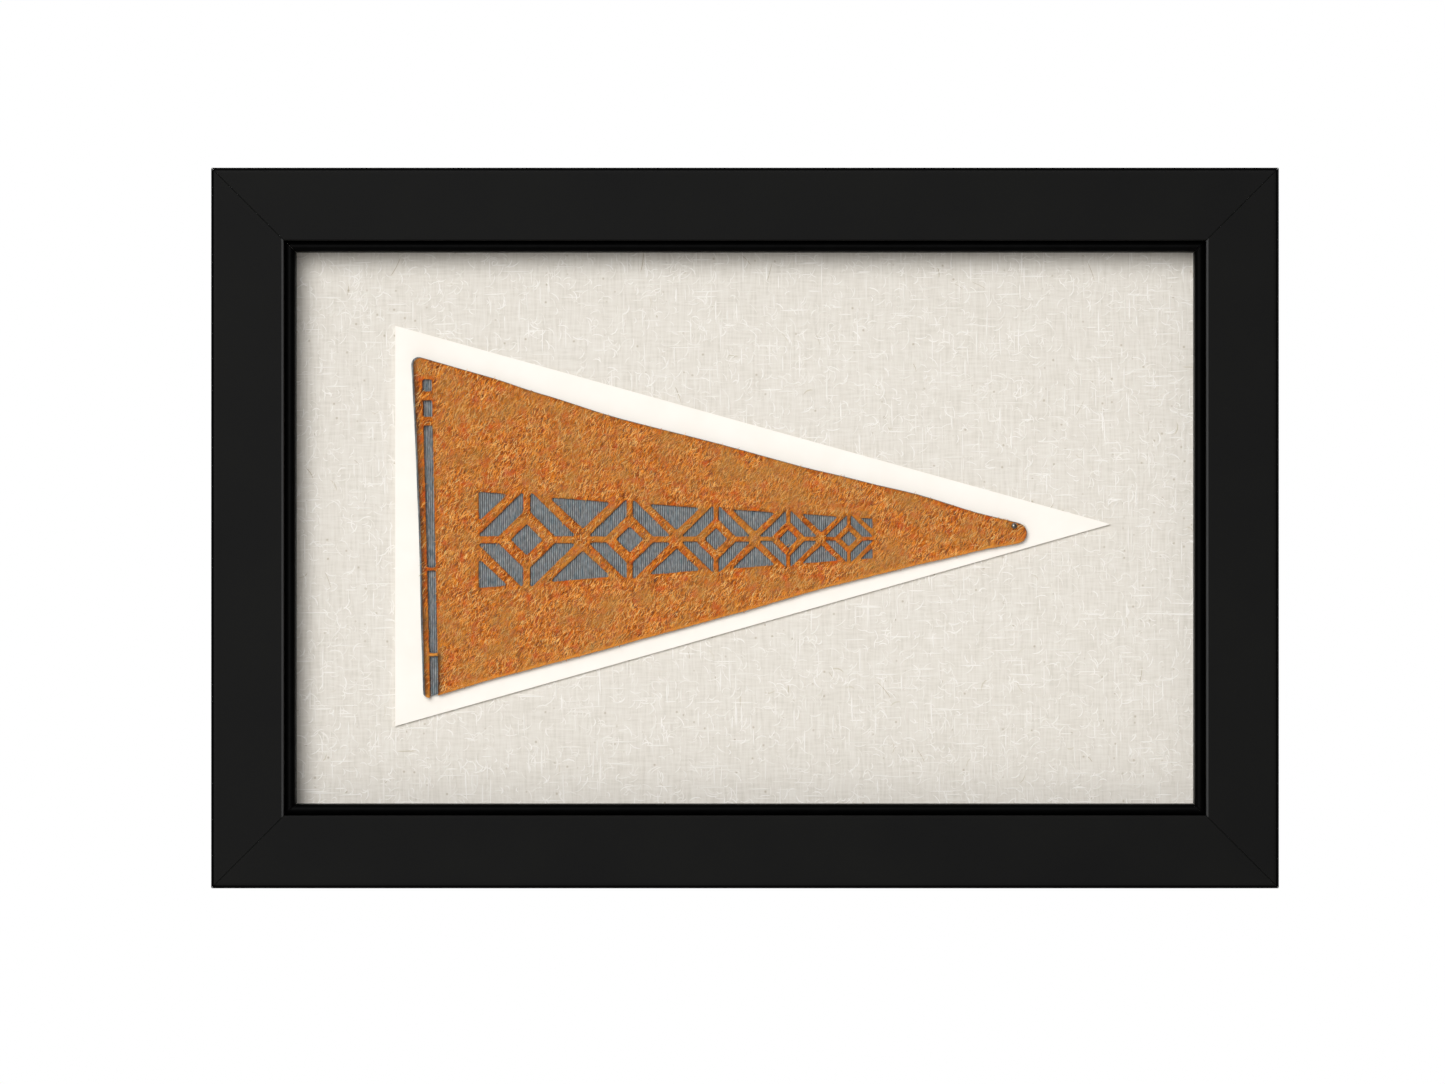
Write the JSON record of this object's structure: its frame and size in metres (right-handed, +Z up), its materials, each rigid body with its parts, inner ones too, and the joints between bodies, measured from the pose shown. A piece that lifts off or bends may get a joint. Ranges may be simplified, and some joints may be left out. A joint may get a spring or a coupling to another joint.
{
  "type": "pennant flag in a picture frame",
  "caption": "Small felt pennant flag with cut windows over a ribbed ground cloth, shown on a card triangle and a linen board in a mitred black picture frame.",
  "frame": {"origin": "the hanging point, midway along the rear face of the top rail, on the wall's plane", "axes": "+X to the right along the frame's width, +Y into the wall, +Z up; the front faces -Y"},
  "size_m": [0.356, 0.024, 0.2407],
  "materials": {
    "lacquered_wood": "satin black lacquer",
    "hardboard": "plain matte board",
    "linen": "plain slubbed weave, matte",
    "card": "smooth matte",
    "ribbed_cloth": "fine vertical ribs, matte",
    "felt": "brushed wool felt with short fibres",
    "pin_steel": "small polished dome"
  },
  "bodies": {
    "root": {"rail_top": "lacquered_wood", "rail_bottom": "lacquered_wood", "rail_left": "lacquered_wood", "rail_right": "lacquered_wood", "backing_board": "hardboard", "linen_cloth": "linen", "card_triangle": "card", "ground_cloth": "ribbed_cloth", "felt_face": "felt", "tip_pin": "pin_steel"}
  },
  "joints": []
}
